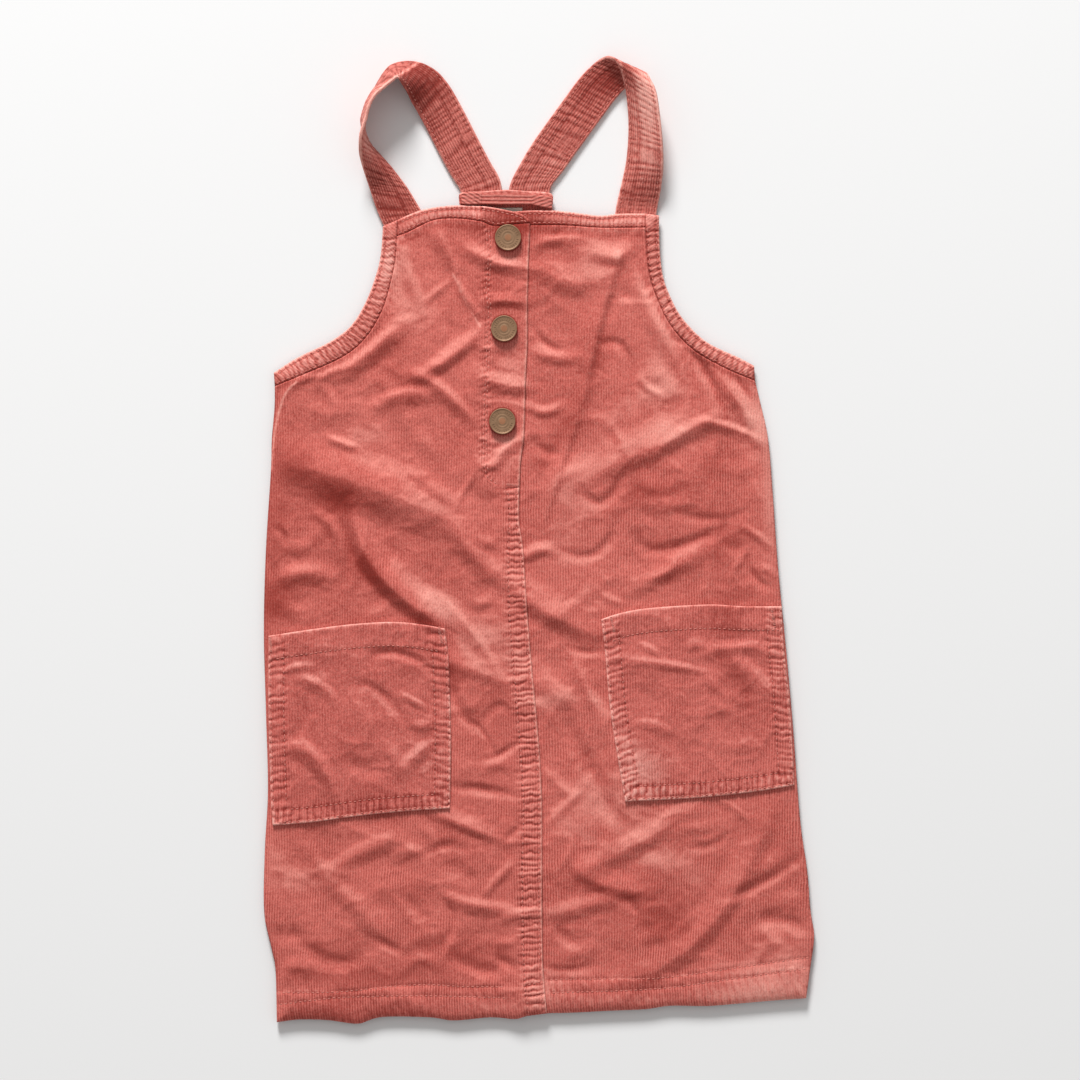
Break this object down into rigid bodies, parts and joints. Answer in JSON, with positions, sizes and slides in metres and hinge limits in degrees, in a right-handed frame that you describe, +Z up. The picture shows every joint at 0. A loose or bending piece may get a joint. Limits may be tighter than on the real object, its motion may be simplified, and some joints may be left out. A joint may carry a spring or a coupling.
{
  "type": "pinafore dress",
  "caption": "Child's pinafore dress in needlecord, laid flat, with a snap placket, patch pockets, bound neck and armholes and shoulder straps meeting at the back neck.",
  "frame": {"origin": "on the surface that the back lies on, under the middle of the whole outline", "axes": "+Y from hem to shoulders, +Z up out of the front, +X towards the side seam on the viewer's right"},
  "size_m": [0.3517, 0.6186, 0.0268],
  "materials": {
    "cord": "coral needlecord, wales running from shoulder to hem",
    "cord_band": "coral needlecord cut into bands and straps",
    "cord_pocket": "coral needlecord, a little more worn",
    "label": "blank pale woven tape",
    "brass": "matte antique brass"
  },
  "bodies": {
    "root": {"back_panel": "cord", "front_left": "cord", "front_right": "cord", "placket": "cord", "centre_lap": "cord", "neck_band_left": "cord_band", "neck_band_right": "cord_band", "armhole_band_left": "cord_band", "armhole_band_right": "cord_band", "pocket_left": "cord_pocket", "pocket_right": "cord_pocket", "strap_left": "cord_band", "strap_right": "cord_band", "back_neck_band": "cord_band", "hanging_loop": "cord_band", "neck_label": "label", "snap_top": "brass", "snap_middle": "brass", "snap_bottom": "brass"}
  },
  "joints": []
}
